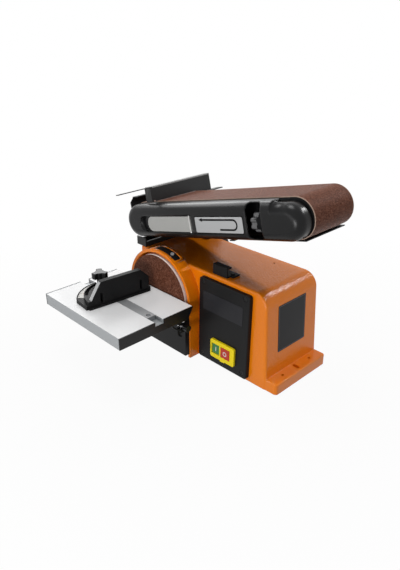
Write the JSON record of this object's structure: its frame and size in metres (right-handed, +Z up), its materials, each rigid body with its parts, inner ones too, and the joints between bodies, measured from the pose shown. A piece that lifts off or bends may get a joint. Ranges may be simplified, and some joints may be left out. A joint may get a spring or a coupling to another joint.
{
  "type": "bench belt sander",
  "caption": "Bench sander with an abrasive belt on a swinging arm and an abrasive disc with a tilting slotted table and mitre gauge, on a bolt-down motor housing.",
  "frame": {"origin": "midway between the two bench slots, in the bottom plane of the housing flanges", "axes": "+Z up, +X along the housing towards the free end of the belt arm, -Y towards the disc and its table"},
  "size_m": [0.4248, 0.3762, 0.3411],
  "materials": {
    "orange_paint": "bright orange paint with a fine orange peel, glossy",
    "rubber": "matt black rubber",
    "black_steel": "black powder coat on folded sheet",
    "black_plastic": "satin black moulded plastic",
    "yellow_plastic": "yellow moulded plastic",
    "green_plastic": "green moulded plastic",
    "red_plastic": "red moulded plastic",
    "steel": "plain machined steel",
    "laminations": "stacked laminations",
    "copper": "varnished winding wire",
    "cast_aluminium": "cast and turned aluminium",
    "table_aluminium": "pale brushed extrusion",
    "grey_lever": "light grey satin paint",
    "abrasive": "reddish brown grit on cloth"
  },
  "bodies": {
    "base": {"base_housing": "orange_paint", "rubber_feet": "rubber", "bottom_plate": "black_steel", "shroud_strip": "black_plastic", "arm_rest": "black_steel", "dust_tray": "black_plastic", "cable_gland": "black_plastic", "dust_port": "black_plastic", "lower_disc_guard": "black_steel", "table_studs": "steel", "switch_panel": "black_plastic", "switch_frame": "yellow_plastic", "motor_stator": "laminations", "motor_front_bell": "cast_aluminium", "motor_rear_bell": "cast_aluminium", "motor_windings": "copper", "base_bearings": "steel", "capacitor": "black_plastic", "arm_bracket": "black_steel", "drive_belt": "rubber", "drive_cover": "black_plastic", "base_screws": "steel"},
    "rotor": {"motor_shaft": "steel", "rotor_core": "laminations", "cooling_fan": "black_plastic", "disc_plate": "cast_aluminium", "sanding_disc": "abrasive", "motor_pulley": "cast_aluminium"},
    "drive_drum": {"drive_drum": "cast_aluminium", "drum_shaft": "steel", "drum_pulley": "cast_aluminium"},
    "arm": {"arm_frame": "cast_aluminium", "platen": "steel", "sanding_belt": "abrasive", "arm_cover": "black_plastic", "end_hood": "black_steel", "belt_guard": "black_steel", "work_stop": "black_steel", "arm_screws": "steel", "tension_springs": "steel"},
    "tension_lever": {"tension_lever": "grey_lever"},
    "idler_carriage": {"idler_carriage": "cast_aluminium", "idler_shaft": "steel"},
    "idler_drum": {"idler_drum": "cast_aluminium", "idler_bearings": "steel"},
    "tracking_knob": {"tracking_knob": "black_plastic"},
    "table": {"table_top": "table_aluminium", "table_end_caps": "black_plastic", "table_quadrants": "black_steel", "table_screws": "steel"},
    "table_knob_left": {"table_knob_left": "black_plastic"},
    "table_knob_right": {"table_knob_right": "black_plastic"},
    "mitre_bar": {"mitre_bar": "steel", "mitre_pointer": "steel"},
    "mitre_head": {"mitre_head": "black_plastic"},
    "mitre_knob": {"mitre_knob": "black_plastic"},
    "start_button": {"start_button": "green_plastic"},
    "stop_button": {"stop_button": "red_plastic"}
  },
  "joints": [
    {"name": "motor_spin", "type": "hinge", "parent": "base", "child": "rotor", "pos_m": [-0.0775, 0, 0.106], "axis": [0, 1, 0], "continuous": true},
    {"name": "drum_spin", "type": "hinge", "parent": "base", "child": "drive_drum", "pos_m": [-0.1576, 0, 0.222], "axis": [0, 1, 0], "continuous": true},
    {"name": "arm_swing", "type": "hinge", "parent": "base", "child": "arm", "pos_m": [-0.1576, 0, 0.222], "axis": [0, -1, 0], "range_deg": [-13.7, 76.3]},
    {"name": "lever_swing", "type": "hinge", "parent": "arm", "child": "tension_lever", "pos_m": [-0.00861, -0.0775, 0.25472], "axis": [-0.2368, 0, 0.9715], "range_deg": [0, 90]},
    {"name": "carriage_slide", "type": "slide", "parent": "arm", "child": "idler_carriage", "axis": [0.9715, 0, 0.2368], "range_m": [-0.006, 0]},
    {"name": "idler_spin", "type": "hinge", "parent": "idler_carriage", "child": "idler_drum", "pos_m": [0.18952, 0, 0.30662], "axis": [0, 1, 0], "continuous": true},
    {"name": "tracking_turn", "type": "hinge", "parent": "idler_carriage", "child": "tracking_knob", "pos_m": [0.12837, -0.066, 0.29017], "axis": [0.9715, 0, 0.2368], "range_deg": [-180, 180]},
    {"name": "table_tilt", "type": "hinge", "parent": "base", "child": "table", "pos_m": [0, -0.1068, 0.111], "axis": [1, 0, 0], "range_deg": [0, 45]},
    {"name": "table_knob_left_turn", "type": "hinge", "parent": "base", "child": "table_knob_left", "pos_m": [-0.1695, -0.11181, 0.07535], "axis": [1, 0, 0], "range_deg": [-90, 90]},
    {"name": "table_knob_right_turn", "type": "hinge", "parent": "base", "child": "table_knob_right", "pos_m": [0.0145, -0.11181, 0.07535], "axis": [1, 0, 0], "range_deg": [-90, 90]},
    {"name": "mitre_slide", "type": "slide", "parent": "table", "child": "mitre_bar", "axis": [1, 0, 0], "range_m": [-0.08, 0.06]},
    {"name": "mitre_turn", "type": "hinge", "parent": "mitre_bar", "child": "mitre_head", "pos_m": [-0.0895, -0.1773, 0.1174], "axis": [0, 0, 1], "range_deg": [-54.6, 65.4]},
    {"name": "mitre_knob_turn", "type": "hinge", "parent": "mitre_bar", "child": "mitre_knob", "pos_m": [-0.1455, -0.1773, 0.14], "axis": [0, 0, 1], "range_deg": [-120, 120]},
    {"name": "start_press", "type": "slide", "parent": "base", "child": "start_button", "axis": [0, 0.9998, -0.0174], "range_m": [0, 0.003], "stiffness_N_per_m": 300, "springref_m": -0.004},
    {"name": "stop_press", "type": "slide", "parent": "base", "child": "stop_button", "axis": [0, 0.9998, -0.0174], "range_m": [0, 0.003], "stiffness_N_per_m": 300, "springref_m": -0.004}
  ],
  "couplings": [
    {"joint": "drum_spin", "follows": "motor_spin", "ratio": 0.5},
    {"joint": "idler_spin", "follows": "motor_spin", "ratio": 0.5},
    {"joint": "carriage_slide", "follows": "lever_swing", "m_per_rad": -0.0038}
  ]
}
